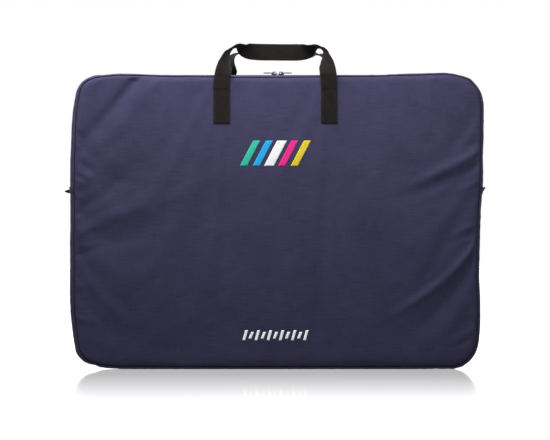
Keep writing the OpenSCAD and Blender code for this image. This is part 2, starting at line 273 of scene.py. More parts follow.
class Nodes:
    """A short way to write a material's nodes."""

    def __init__(self, name):
        self.material = bpy.data.materials.new(name)
        self.material.use_nodes = True
        self.tree = self.material.node_tree
        self.shader = self.tree.nodes["Principled BSDF"]

    def add(self, kind, inputs=None, **settings):
        node = self.tree.nodes.new("ShaderNode" + kind)
        for key, value in settings.items():
            setattr(node, key, value)
        for key, value in (inputs or {}).items():
            self.feed(node, key, value)
        return node

    def feed(self, node, key, value):
        if isinstance(value, tuple) and isinstance(value[0], bpy.types.Node):
            self.tree.links.new(value[0].outputs[value[1]], node.inputs[key])
        elif isinstance(value, bpy.types.Node):
            self.tree.links.new(value.outputs[0], node.inputs[key])
        else:
            node.inputs[key].default_value = value

    def math(self, operation, a, b=0.0, c=0.0):
        return self.add("Math", {0: a, 1: b, 2: c}, operation=operation)

    def ramp(self, factor, stops):
        node = self.add("ValToRGB", {"Fac": factor})
        node.color_ramp.elements.remove(node.color_ramp.elements[0])
        node.color_ramp.elements[0].position = stops[0][0]
        node.color_ramp.elements[0].color = (*stops[0][1], 1)
        for at, tint in stops[1:]:
            node.color_ramp.elements.new(at).color = (*tint, 1)
        return node

    def noise(self, vector, scale, detail=2.0, stretch=(1, 1, 1)):
        mapping = self.add("Mapping", {"Vector": vector, "Scale": stretch})
        return self.add("TexNoise", {"Vector": mapping, "Scale": scale, "Detail": detail})

    def finish(self, base, height, strength, distance, **constants):
        bump = self.add("Bump", {"Height": height, "Strength": strength, "Distance": distance})
        self.feed(self.shader, "Base Color", base)
        self.feed(self.shader, "Normal", bump)
        for key, value in constants.items():
            self.shader.inputs[key.replace("_", " ")].default_value = value
        return self.material


def woven(name, dark, light, thread, slub, roughness=0.75, sheen=0.03, bump=0.5, worn=0.3):
    """Plain-woven cloth: crossing threads of the given size in metres, thick and thin yarns and worn edges."""
    n = Nodes(name)
    uv = (n.add("TexCoord"), "UV")
    axes = n.add("SeparateXYZ", {0: uv})
    turn = math.pi / thread
    over = n.math("SINE", n.math("MULTIPLY", (axes, "X"), turn))
    under = n.math("SINE", n.math("MULTIPLY", (axes, "Y"), turn))
    height = n.math("MULTIPLY_ADD", n.math("MULTIPLY", over, under), 0.5, 0.5)
    yarn_a = n.noise(uv, 1.0, 3.0, (30, 760, 1))
    yarn_b = n.noise(uv, 1.0, 3.0, (900, 40, 1))
    blotch = n.noise(uv, 14.0, 3.0)
    yarns = n.math("MULTIPLY_ADD", (yarn_a, 0), 1.25, n.math("MULTIPLY", (yarn_b, 0), 0.75))
    crossings = n.math("MULTIPLY_ADD", height, 0.35, -0.5 * slub - 0.075)
    mix = n.math("MULTIPLY_ADD", yarns, slub, crossings)
    tone = n.math("ADD", mix, n.math("MULTIPLY", (blotch, 0), 0.30))
    edge = n.add("Attribute", attribute_name="wear")
    tone = n.math("ADD", tone, n.math("MULTIPLY", (edge, "Fac"), worn))
    base = n.ramp(tone, [(0.0, dark), (1.0, light)])
    relief = n.math("ADD", height, n.math("MULTIPLY", yarns, 0.8))
    return n.finish(base, relief, bump, thread * 0.45, Roughness=roughness, Sheen_Weight=sheen,
                    Sheen_Roughness=0.45, Specular_IOR_Level=0.06)


def webbing_cloth(name, dark, light):
    """Ribbed webbing: lengthwise ribs with slanted picks between them. UV is (across, along) in metres."""
    n = Nodes(name)
    uv = (n.add("TexCoord"), "UV")
    axes = n.add("SeparateXYZ", {0: uv})
    rib = n.math("SINE", n.math("MULTIPLY", (axes, "X"), 2 * math.pi / 0.0025))
    zigzag = n.math("ABSOLUTE", rib)
    slant = n.math("MULTIPLY_ADD", (axes, "Y"), 2 * math.pi / 0.0018, n.math("MULTIPLY", zigzag, 2.6))
    height = n.math("MULTIPLY_ADD", n.math("SINE", slant), 0.30, n.math("MULTIPLY", zigzag, 0.7))
    yarn = n.noise(uv, 1.0, 2.0, (900, 60, 1))
    blotch = n.noise(uv, 60.0, 3.0)
    tone = n.math("ADD", n.math("MULTIPLY", height, 0.45), n.math("MULTIPLY", (yarn, 0), 0.45))
    tone = n.math("ADD", tone, n.math("MULTIPLY", (blotch, 0), 0.25))
    edge = n.add("Attribute", attribute_name="wear")
    tone = n.math("ADD", tone, n.math("MULTIPLY", (edge, "Fac"), 0.35))
    base = n.ramp(tone, [(0.15, dark), (1.0, light)])
    return n.finish(base, height, 0.8, 0.0006, Roughness=0.6, Sheen_Weight=0.02,
                    Sheen_Roughness=0.4, Specular_IOR_Level=0.08)


def satin(name, dark, light):
    """Close parallel threads, as in embroidery or sewing thread."""
    thread = 0.0004
    n = Nodes(name)
    uv = (n.add("TexCoord"), "UV")
    axes = n.add("SeparateXYZ", {0: uv})
    ridge = n.math("SINE", n.math("MULTIPLY", (axes, "X"), 2 * math.pi / thread))
    uneven = n.noise(uv, 1.0, 2.0, (2400, 120, 1))
    tone = n.math("ADD", n.math("MULTIPLY", ridge, 0.18), n.math("MULTIPLY", (uneven, 0), 1.1))
    base = n.ramp(tone, [(0.2, dark), (0.85, light)])
    return n.finish(base, n.math("ADD", ridge, (uneven, 0)), 0.6, thread * 0.4, Roughness=0.38,
                    Sheen_Weight=0.05, Specular_IOR_Level=0.25)


def grained(name, dark, light, scale, roughness, metallic=0.0, shine=0.5):
    """Moulded plastic or coated metal, with a fine grain and light wear."""
    n = Nodes(name)
    place = (n.add("TexCoord"), "Object")
    grain, broad = n.noise(place, scale, 4.0), n.noise(place, scale / 12)
    tone = n.math("ADD", n.math("MULTIPLY", (grain, 0), 0.6), n.math("MULTIPLY", (broad, 0), 0.5))
    base = n.ramp(tone, [(0.3, dark), (0.8, light)])
    return n.finish(base, (grain, 0), 0.15, 0.0002, Roughness=roughness, Metallic=metallic,
                    Specular_IOR_Level=shine)


NAVY = woven("navy_polyester", (0.0085, 0.0078, 0.0185), (0.037, 0.0345, 0.069), 0.0007, slub=0.52, worn=0.10)
NAVY_LINING = woven("navy_lining", (0.012, 0.012, 0.026), (0.040, 0.039, 0.070), 0.0004, slub=0.35,
                    roughness=0.45, bump=0.3)
TAPE = woven("zip_tape_cloth", (0.008, 0.008, 0.014), (0.030, 0.029, 0.044), 0.0006, slub=0.3, bump=0.6)
BINDING = woven("binding_tape", (0.006, 0.006, 0.011), (0.026, 0.026, 0.040), 0.0008, slub=0.3, bump=0.7)
WEBBING = webbing_cloth("black_webbing", (0.0014, 0.0012, 0.0011), (0.0130, 0.0112, 0.0103))
THREAD = satin("black_thread", (0.002, 0.002, 0.002), (0.014, 0.013, 0.012))
NAVY_THREAD = satin("navy_thread", (0.020, 0.020, 0.042), (0.075, 0.073, 0.120))
COIL = grained("coil_plastic", (0.005, 0.005, 0.008), (0.022, 0.022, 0.028), 900, 0.42)
METAL = grained("black_enamel", (0.003, 0.003, 0.004), (0.015, 0.015, 0.017), 700, 0.45, 0.15, shine=0.12)


# ---- panels ----

# Soft folds in millimetres: (x, z of the start, x, z of the middle, x, z of the end, height, half width).
# A minus height is a valley.
FRONT_FOLDS = [
    (-246, 536, -306, 470, -392, 360, -6.2, 15), (-262, 500, -218, 466, -180, 425, 1.8, 32),
    (-215, 524, -262, 470, -345, 360, 2.6, 17), (-368, 330, -305, 366, -240, 436, 1.8, 15),
    (-368, 284, -306, 318, -205, 404, -3.2, 15), (-370, 236, -300, 290, -150, 320, 3.6, 18),
    (-366, 205, -300, 240, -170, 275, -2.8, 24), (-190, 312, -110, 340, -50, 372, 1.6, 28),
    (-372, 376, -345, 372, -312, 348, -1.7, 5), (-372, 362, -348, 356, -316, 336, 1.6, 5),
    (-372, 392, -350, 390, -322, 372, 1.2, 5), (-371, 236, -345, 244, -318, 254, -1.4, 4),
    (-371, 224, -342, 222, -305, 232, 1.3, 6), (-371, 208, -350, 208, -326, 216, -1.1, 4),
    (-368, 150, -340, 158, -300, 150, 1.2, 12), (-365, 92, -335, 84, -300, 96, 1.3, 10),
    (374, 412, 352, 410, 328, 400, -2.0, 4), (376, 400, 325, 372, 212, 318, 4.6, 10),
    (374, 374, 320, 342, 190, 298, -4.4, 15), (372, 356, 354, 353, 334, 348, 1.5, 3),
    (374, 430, 356, 430, 334, 424, 1.2, 5), (372, 344, 350, 330, 300, 314, 1.6, 6),
    (369, 234, 336, 162, 170, 78, 5.0, 8), (371, 206, 332, 128, 215, 60, -4.2, 18),
    (371, 266, 346, 256, 304, 236, 2.0, 5), (371, 250, 348, 244, 312, 222, -1.8, 5),
    (368, 76, 352, 62, 314, 46, 1.8, 6), (366, 64, 350, 50, 310, 36, -1.4, 6),
    (300, 530, 340, 512, 368, 470, 1.4, 10), (286, 522, 330, 492, 364, 438, -1.8, 12),
    (-120, 250, 20, 262, 150, 240, 1.1, 40), (120, 300, 190, 262, 240, 210, 1.3, 30),
    (-60, 180, 40, 140, 180, 150, -1.1, 40),
]
BACK_FOLDS = [
    (-367, 296, -300, 322, -200, 376, 3.0, 13), (-364, 262, -290, 270, -190, 330, -2.4, 18),
    (370, 424, 318, 382, 240, 352, 2.9, 12), (368, 204, 310, 180, 200, 112, 3.1, 10),
    (-366, 144, -300, 120, -220, 62, 2.7, 11), (368, 332, 320, 318, 232, 298, -2.4, 15),
    (-250, 528, -280, 490, -356, 426, -3.0, 17), (255, 526, 300, 480, 360, 450, -2.4, 16),
    (-371, 388, -348, 384, -318, 366, 1.5, 5), (371, 262, 350, 258, 318, 240, 1.6, 5),
    (370, 90, 346, 80, 306, 90, 1.4, 9), (-370, 216, -346, 214, -310, 226, 1.3, 6),
    (-40, 360, 60, 300, 170, 290, 1.3, 34), (-150, 210, -40, 190, 90, 220, 1.3, 36),
]


def folds(x, z, table):
    """Height of the soft folds at a point, in metres."""
    total = np.zeros_like(x, float)
    t = np.linspace(0, 1, 22)
    for *places, height, half in table:
        a, b, c = np.array(places, float).reshape(3, 2) / 1000
        line = np.outer((1 - t) ** 2, a) + np.outer(2 * t * (1 - t), b) + np.outer(t * t, c)
        best = np.full(x.shape, 1e9)
        share = np.zeros_like(x, float)
        for i in range(len(t) - 1):
            d = line[i + 1] - line[i]
            k = np.clip(((x - line[i, 0]) * d[0] + (z - line[i, 1]) * d[1]) / (d @ d), 0, 1)
            gap = np.hypot(x - line[i, 0] - k * d[0], z - line[i, 1] - k * d[1])
            nearer = gap < best
            best = np.where(nearer, gap, best)
            share = np.where(nearer, (i + k) / (len(t) - 1), share)
        width = half / 1000 * (0.55 + 0.6 * share)
        fade = smooth(share / 0.10 + 0.35) * smooth((1 - share) / 0.45)
        total += height / 1000 * fade * np.exp(-(best / width) ** 2)
    return total


def puckers(x, z, d, seed):
    """Small gathers that run in from the seam."""
    angle = np.arctan2(z - HEIGHT / 2, x * 0.72)
    wave = wobble(angle, seed, 7, 30, 150)
    busy = 0.45 + 0.75 * smooth((np.abs(x) - 0.30) / 0.05) * smooth((z - 0.12) / 0.1) * smooth((0.47 - z) / 0.08)
    return 0.0006 * busy * wave * smooth(d / 0.004) * np.exp(-np.maximum(d, 0) / 0.016)


STRAP_X = 0.0975           # distance of each handle leg from the middle
CELL = 0.006               # spacing of the simulated cloth
DRAPE_X, DRAPE_Z = np.arange(-0.372, 0.3721, CELL), np.arange(0.003, 0.5331, CELL)
DRAPE_CAP = 0.0022         # the most that the settled cloth adds to a panel
ASKEW = {FRONT: 0.011, BACK: -0.006}   # how far, per metre of height, the cut cloth leans against its frame
drape = {}


def under_strap(x, z):
    """1 where a handle is sewn down, and 0 away from it."""
    return np.exp(-((np.abs(x) - STRAP_X) / 0.020) ** 4) * smooth((z - 0.43) / 0.012)


def simulate(side):
    """Lets one panel's cloth, cut a little larger than its frame, settle under its weight. Its seams and
    the sewn handle ends hold it, and the foam behind holds the rest softly."""
    gx, gz = np.meshgrid(DRAPE_X, DRAPE_Z, indexing="ij")
    d = depth_inside(gx, gz)
    start = surface(side, gx, gz)
    inside = d > 0.0015
    index = np.full(gx.shape, -1)
    index[inside] = np.arange(inside.sum())
    quads = np.stack([index[:-1, :-1], index[1:, :-1], index[1:, 1:], index[:-1, 1:]], -1).reshape(-1, 4)
    quads = quads[(quads >= 0).all(axis=1)]
    points = np.stack([gx, side * start, gz], -1)[inside]
    cloth = mesh_object("cloth_trial", points, quads, NAVY)
    hold = np.clip(0.07 + (1 - smooth((d - 0.003) / 0.008)) + under_strap(gx, gz), 0, 1)[inside]
    group = cloth.vertex_groups.new(name="hold")
    for i, weight in enumerate(hold):
        group.add([i], float(weight), "REPLACE")
    cloth.shape_key_add(name="held")
    cut = cloth.shape_key_add(name="cut")
    skewed = points.copy()
    skewed[:, 0] -= ASKEW[side] * points[:, 2]
    cut.data.foreach_set("co", skewed.ravel())
    trial = cloth.modifiers.new("cloth", "CLOTH")
    cfg = trial.settings
    cfg.rest_shape_key = cut
    cfg.quality, cfg.mass, cfg.vertex_group_mass, cfg.pin_stiffness = 5, 0.25, "hold", 1.0
    cfg.tension_stiffness = cfg.compression_stiffness = 18
    cfg.shear_stiffness, cfg.bending_stiffness = 8, 1.2
    cfg.shrink_min = -0.009
    cfg.effector_weights.gravity = 0.35
    cfg.use_pressure, cfg.uniform_pressure_force = True, 0.3
    scene = bpy.context.scene
    for number in range(1, 23):
        scene.frame_set(number)
    settled = cloth.evaluated_get(bpy.context.evaluated_depsgraph_get()).data
    flat = np.zeros(len(points) * 3)
    settled.vertices.foreach_get("co", flat)
    moved = np.zeros(gx.shape)
    moved[inside] = side * (flat.reshape(-1, 3)[:, 1] - points[:, 1])
    mesh = cloth.data
    bpy.data.objects.remove(cloth)
    bpy.data.meshes.remove(mesh)
    scene.frame_set(1)
    keep = 0.45 * smooth((gz - 0.02) / 0.08)
    return DRAPE_CAP * np.tanh(keep * moved / DRAPE_CAP)


def draped(side, x, z):
    """The settled cloth's movement, read between the samples."""
    field = drape.get(side)
    if field is None:
        return 0.0
    u = np.clip((x - DRAPE_X[0]) / CELL, 0, len(DRAPE_X) - 1.001)
    v = np.clip((z - DRAPE_Z[0]) / CELL, 0, len(DRAPE_Z) - 1.001)
    i, j = u.astype(int), v.astype(int)
    a, b = u - i, v - j
    return ((1 - a) * (1 - b) * field[i, j] + a * (1 - b) * field[i + 1, j]
            + (1 - a) * b * field[i, j + 1] + a * b * field[i + 1, j + 1])


def surface(side, x, z):
    """Distance of a panel's outer face from the middle plane."""
    d = np.maximum(depth_inside(x, z), 0)
    tuck = -0.0024 * (1 - smooth(d / 0.0022))
    roll = tuck + 0.0044 * np.sqrt(1 - (1 - np.clip(d / 0.012, 0, 1)) ** 2)
    pad = 0.0026 * (1 - np.exp(-d / 0.024)) + 0.0030 * smooth((d - 0.03) / 0.16)
    shape = folds(x, z, FRONT_FOLDS if side == FRONT else BACK_FOLDS)
    soft = smooth(d / 0.012)
    uneven = 0.0009 * clouds(x, z, 5 + side, 0.16) + 0.00022 * clouds(x, z, 15 + side, 0.035)
    loose = 1 - 0.85 * under_strap(x, z)
    return (SEAM_Y + roll + pad + soft * loose * (shape + uneven) + draped(side, x, z)
            + puckers(x, z, d, 3 + side))


MARGIN = 0.07
RIM = np.array([0, 0.0003, 0.0008, 0.0016, 0.0027, 0.0042, 0.006, 0.0084, 0.0112, 0.0145, 0.0182, 0.0222,
                0.0266, 0.0314, 0.0366, 0.0424, 0.0488, 0.0560, 0.0640]) / MARGIN


def panel_grid(step, rim=RIM):
    """A grid of (x, z) that follows the seam outline at its edge, as (rows, columns, x, z)."""
    xl, xr, zb, zt, radii = bounds_of(1)
    share = 1 - rim

    def axis(low, high):
        n = int((high - low - 2 * MARGIN) / step) + 1
        middle = np.linspace(low + MARGIN, high - MARGIN, n)
        return (np.concatenate([np.full(len(share), low + MARGIN), middle, np.full(len(share), high - MARGIN)]),
                np.concatenate([-share, np.zeros(n), share[::-1]]))

    (xs, a), (zs, b) = axis(xl, xr), axis(zb, zt)
    X, Z = np.meshgrid(xs, zs, indexing="ij")
    A, B = np.meshgrid(a, b, indexing="ij")
    x, z = X + A * MARGIN, Z + B * MARGIN
    for corner, sx, sz in (("tl", -1, 1), ("tr", 1, 1), ("br", 1, -1), ("bl", -1, -1)):
        r = radii[corner]
        pick = (A * sx > 0) & (B * sz > 0)
        p, q = np.abs(A[pick]), np.abs(B[pick])
        flat = (MARGIN - r) / (MARGIN - r + r * math.pi / 4)

        def edge(t):
            """From the end of the straight side, along it and half-way round the corner."""
            turn = np.clip((t - flat) / (1 - flat), 0, 1) * math.pi / 4
            straight = np.minimum(t / flat, 1) * (MARGIN - r)
            return straight + r * np.sin(turn), MARGIN - r + r * np.cos(turn)

        top, right = edge(p), edge(q)
        k = edge(np.array(1.0))
        u = (1 - q) * p * MARGIN + q * top[0] + p * right[1] - (p * (1 - q) * MARGIN + p * q * k[0])
        v = q * top[1] + (1 - p) * q * MARGIN + p * right[0] - ((1 - p) * q * MARGIN + p * q * k[0])
        x[pick] = X[pick] + sx * u
        z[pick] = Z[pick] + sz * v
    return len(xs), len(zs), x.ravel(), z.ravel()


def on_panel(side, x, z, lift=0.0):
    """Points on a panel's outer face, lifted off it."""
    x, z = np.asarray(x, float), np.asarray(z, float)
    y = side * (surface(side, x, z) + lift)
    return np.stack(warp(x, y, z), axis=-1)


def panel_slab(name, side, material, grid, outer_in, inner_in, worn=None):
    """A closed sheet that follows a panel, between two depths behind the panel's outer face."""
    rows, cols, x, z = grid
    y = surface(side, x, z)
    outer, inner = (np.stack(warp(x, side * (y - depth), z), 1) for depth in (outer_in, inner_in))
    return slab(name, outer, inner, rows, cols, material, np.stack([x, z], 1), worn)


def panel(name, side):
    """A panel's padded outer half: cloth with the foam behind it, turned in at the seam."""
    grid = panel_grid(0.0042)
    d = np.maximum(depth_inside(*grid[2:]), 0)
    thick = 0.0024 + 0.0036 * smooth((d - 0.001) / 0.02)
    return panel_slab(name, side, NAVY, grid, 0, thick, np.exp(-d / 0.004) * 0.8)


def lining(name, side):
    """A panel's lining, behind its foam."""
    grid = panel_grid(0.0085, RIM[::2])
    x, z = grid[2:]
    d = np.maximum(depth_inside(x, z), 0)
    slack = 0.0007 * clouds(x, z, 40 + side, 0.07) * smooth(d / 0.03)
    depth = 0.0030 + 0.0038 * smooth((d - 0.001) / 0.02) - slack
    return panel_slab(name, side, NAVY_LINING, grid, depth - 0.0004, depth + 0.0004)


for side in (FRONT, BACK):
    drape[side] = simulate(side)

front_panel, back_panel = panel("front_panel", FRONT), panel("back_panel", BACK)
front_lining, back_lining = lining("front_lining", FRONT), lining("back_lining", BACK)


# ---- gussets ----

ROLL = 0.016               # how far from a seam the gusset's face curves in to meet it
# The gusset's cloth beside a seam: (distance from the middle plane less the seam's, share of the way in)
TUCK = [(-0.0024, 1.0), (-0.0012, 0.97), (0.0, 0.92), (0.0010, 0.84), (0.0013, 0.74), (0.0010, 0.64)]


def bulge(y, s, seed):
    """(outset, share of the way in to the seam) of the gusset's face at a distance y from the middle."""
    e = np.maximum(SEAM_Y + 0.0006 - abs(y), 0)
    share = 0.62 * (1 - math.sqrt(1 - (1 - min(e / ROLL, 1)) ** 2))
    gather = 0.0006 * wobble(s, seed, 7, 120, 420) * smooth(e / 0.003) * math.exp(-e / 0.009)
    sag = 0.0005 * wobble(s, seed + 9, 5, 15, 60) * float(smooth(e / 0.02))
    return gather + sag, share


def face_ys(near, far, n):
    """Distances from the seam at far to the inner edge at near, closer together at the seam."""
    t = np.linspace(0, 1, n) ** 1.6
    return far - (far - near) * t


def lower_section(s):
    """The whole lower gusset from the front seam to the back seam, with its padded thickness."""
    ends = np.minimum(s, s[-1] - s)
    over = 0.0015 * smooth((0.0115 - ends) / 0.002)
    ys = np.concatenate([-face_ys(0, SEAM_Y, 15), face_ys(0, SEAM_Y, 15)[::-1][1:]])
    outer, inner = [], []
    calm = 1 - smooth((0.02 - ends) / 0.01)
    for y in ys:
        outset, share = bulge(y, s, 21 if y < 0 else 22)
        outer.append((y, outset * calm + over, share))
        inner.append((y * 0.97, -0.0040 * (0.5 + 0.5 * (1 - share)) + outset * calm, share))
    tuck = [(SEAM_Y + dy, 0.0 * s, share) for dy, share in TUCK]
    front = [(-y, o, share) for y, o, share in tuck]
    return front + outer + tuck[::-1] + inner[::-1]


def zip_section(side):
    """One strip beside the zip: from the seam to its folded edge at the tape, and back inside."""
    def section(s):
        ys = face_ys(0.0086, SEAM_Y, 14)
        loop = [(side * (SEAM_Y + dy), 0.0, share) for dy, share in TUCK]
        for y in ys:
            outset, share = bulge(y, s, 31 + side)
            settle = float(smooth((y - 0.009) / 0.012))
            loop.append((side * y, outset * settle, share))
        loop += [(side * 0.0080, -0.0002, 0), (side * 0.0078, -0.0008, 0), (side * 0.0081, -0.0015, 0)]
        for y in (0.012, 0.0165, 0.020, 0.026, 0.031, 0.035, 0.0372):
            outset, share = bulge(y, s, 31 + side)
            thick = 0.0015 + 0.0018 * float(smooth((y - 0.016) / 0.006))
            loop.append((side * y, -thick, share))
        return loop
    return section


def flat_section(side, near, far, top, bottom):
    """A plain flat strip of even thickness."""
    def section(s):
        ys = np.linspace(near, far, 5)
        return [(side * y, top, 0) for y in ys] + [(side * y, bottom, 0) for y in ys[::-1]]
    return section


def lining_section(ys, outset):
    """Thin lining that follows the gusset's face, outset(y) behind it."""
    def section(s):
        over = [(y, outset(abs(y)), bulge(y, s, 0)[1]) for y in ys]
        return over + [(y, out - 0.0008, share) for y, out, share in over[::-1]]
    return section


def inner_section(side):
    """Lining behind one strip beside the zip."""
    ys = [side * y for y in (0.0125, 0.018, 0.024, 0.030, 0.034, 0.0365)]
    return lining_section(ys, lambda y: -0.0026 - 0.0012 * float(smooth((y - 0.014) / 0.006)))


def binding_section(side):
    """Tape folded over the seam allowance, standing into the bag."""
    def section(s):
        out = 0.0004 * wobble(s, 50 + side, 5, 40, 160)
        y0, y1 = 0.0292, 0.0358
        loop = [(y1, -0.0052, 1), (y0 + 0.0008, -0.0050, 1), (y0, -0.0056, 1), (y0, -0.0068, 1),
                (y0 + 0.0008, -0.0074, 1), (y1, -0.0074, 1)]
        return [(side * y, o + out, share) for y, o, share in loop]
    return section


OVERLAP = 0.0065           # how far the strips and tapes run under the lower gusset
lower_gusset = strip("lower_gusset", "under", ZIP_END + OVERLAP, lower_section, NAVY)
lower_gusset_lining = strip("lower_gusset_inner_sheet", "under", ZIP_END,
                            lining_section(np.linspace(-0.0355, 0.0355, 13), lambda y: -0.0046), NAVY_LINING)
zip_parts = {}
for side, word in SIDES:
    zip_parts[side] = [
        strip(f"{word}_zip_gusset", "arch", ZIP_END - OVERLAP, zip_section(side), NAVY),
        strip(f"{word}_zip_gusset_inner_sheet", "arch", ZIP_END, inner_section(side), NAVY_LINING),
        strip(f"{word}_zip_woven_tape", "arch", ZIP_END - OVERLAP,
              flat_section(side, 0.0006, 0.0158, -0.0016, -0.0023), TAPE),
        strip(f"{word}_binding_upper", "arch", ZIP_END, binding_section(side), BINDING),
    ]
front_lower_binding = strip("front_binding_lower", "under", ZIP_END, binding_section(FRONT), BINDING)
back_lower_binding = strip("back_binding_lower", "under", ZIP_END, binding_section(BACK), BINDING)


# ---- coil ----

COIL_SIDES = 5


def tube(path, radius):
    """Rings of points round a path, for one closed tube."""
    ahead = unit(np.gradient(path, axis=0))
    first = unit(np.cross(ahead, np.array([0.31, 0.87, 0.38])))
    second = np.cross(ahead, first)
    a = np.linspace(0, 2 * math.pi, COIL_SIDES, endpoint=False)
    return (path[:, None] + radius * (np.cos(a)[None, :, None] * first[:, None]
                                      + np.sin(a)[None, :, None] * second[:, None])).reshape(-1, 3)


def coil(name, side):
    """One half of the closed coil: a flattened spiral sewn to its tape, whose heads mesh with the other."""
    outer, normal = run(0, "arch", ZIP_END - 0.004)
    s = along(outer)
    pitch, steps = 0.0016, 9
    turns = int((s[-1] - 0.001) / pitch)
    t = np.arange(turns * steps) / steps
    at = (t + (0.5 if side == BACK else 0)) * pitch
    a = 2 * math.pi * t
    y = side * (0.00145 - 0.00165 * np.cos(a) - 0.00015 * np.cos(3 * a))
    out = -0.00066 + 0.00062 * np.sin(a)
    place = sample(at, s, outer) + unit(sample(at, s, normal)) * out[:, None]
    path = warped(np.stack([place[:, 0], y, place[:, 1]], 1))
    return mesh_object(name, tube(path, 0.00034), tube_faces(len(path), COIL_SIDES), COIL)


front_coil, back_coil = coil("front_zip_coil_spiral", FRONT), coil("back_zip_coil_spiral", BACK)


# ---- stitches ----

# One stitch, a six-sided thread that dips at both ends: (along, out, across) shares of its size
STITCH_SINK = 0.00006
STITCH = np.array([(ring, size * math.cos(k * math.pi / 3), size * math.sin(k * math.pi / 3))
                   for ring, size in ((-1.0, 0.25), (-0.72, 0.85), (0.0, 1.0), (0.72, 0.85), (1.0, 0.25))
                   for k in range(6)])
STITCH_FACES = tube_faces(5, 6)


def stitches(name, rows, material, length=0.0030, gap=0.0009, radius=0.00028):
    """Sewing thread lying on a surface. rows is a list of (points, outward directions) along each seam."""
    points, faces, uvs = [], [], []
    for path, up in rows:
        path, up = np.asarray(path, float), unit(np.asarray(up, float))
        s = along(path)
        count = max(1, int(s[-1] / (length + gap)))
        at = (np.arange(count) + 0.5) * s[-1] / count
        centre = sample(at, s, path)
        ahead = unit(sample(np.minimum(at + 1e-3, s[-1]), s, path) - sample(np.maximum(at - 1e-3, 0), s, path))
        out = unit(sample(at, s, up))
        across = np.cross(ahead, out)
        for c, f, o, w in zip(centre, ahead, out, across):
            base = len(points) * len(STITCH)
            bend = radius * 0.9 - 0.00025 * STITCH[:, 0] ** 2 - STITCH_SINK
            body = (c + np.outer(STITCH[:, 0] * length / 2, f) + np.outer(STITCH[:, 1] * radius + bend, o)
                    + np.outer(STITCH[:, 2] * radius, w))
            points.append(body)
            uvs.append(np.stack([STITCH[:, 2] * radius, STITCH[:, 0] * length / 2], 1))
            faces += [[base + i for i in face] for face in STITCH_FACES]
    return mesh_object(name, np.concatenate(points), faces, material, np.concatenate(uvs))


def topstitch_row(y):
    """A line of stitching beside the zip, at a distance y from the middle plane."""
    outer, normal = run(0, "arch", ZIP_END + 0.008)
    path = warped(np.stack([outer[:, 0], np.full(len(outer), y), outer[:, 1]], 1))
    return path, np.stack([normal[:, 0], np.zeros(len(outer)), normal[:, 1]], 1)


def end_rows():
    """Stitching across the lower gusset, over each end of the zip."""
    rows = []
    for z in (ZIP_END + 0.0030, ZIP_END - 0.0032):
        for sign in (-1, 1):
            y = np.linspace(-0.030, 0.030, 14)
            share = np.array([bulge(v, np.zeros(1), 0)[1] for v in y])
            inset = SEAM_INSET["left" if sign < 0 else "right"] * share
            x = sign * (HALF_W + 0.0016 - inset)
            rows.append((warped(np.stack([x, y, np.full(len(y), z)], 1)), np.tile([sign, 0, 0], (len(y), 1))))
    return rows


zip_stitches = {side: stitches(f"{word}_zip_topstitch", [topstitch_row(side * 0.0104)], NAVY_THREAD)
                for side, word in SIDES}
end_stitches = stitches("zip_end_stitches", end_rows(), NAVY_THREAD)


# ---- handles ----

LEG_Y, WEB_W, WEB_T = 0.0458, 0.030, 0.0019
SEWN_BOTTOM, SEWN_TOP = 0.088, 0.030    # depth below the top of the ends of the sewn stretch
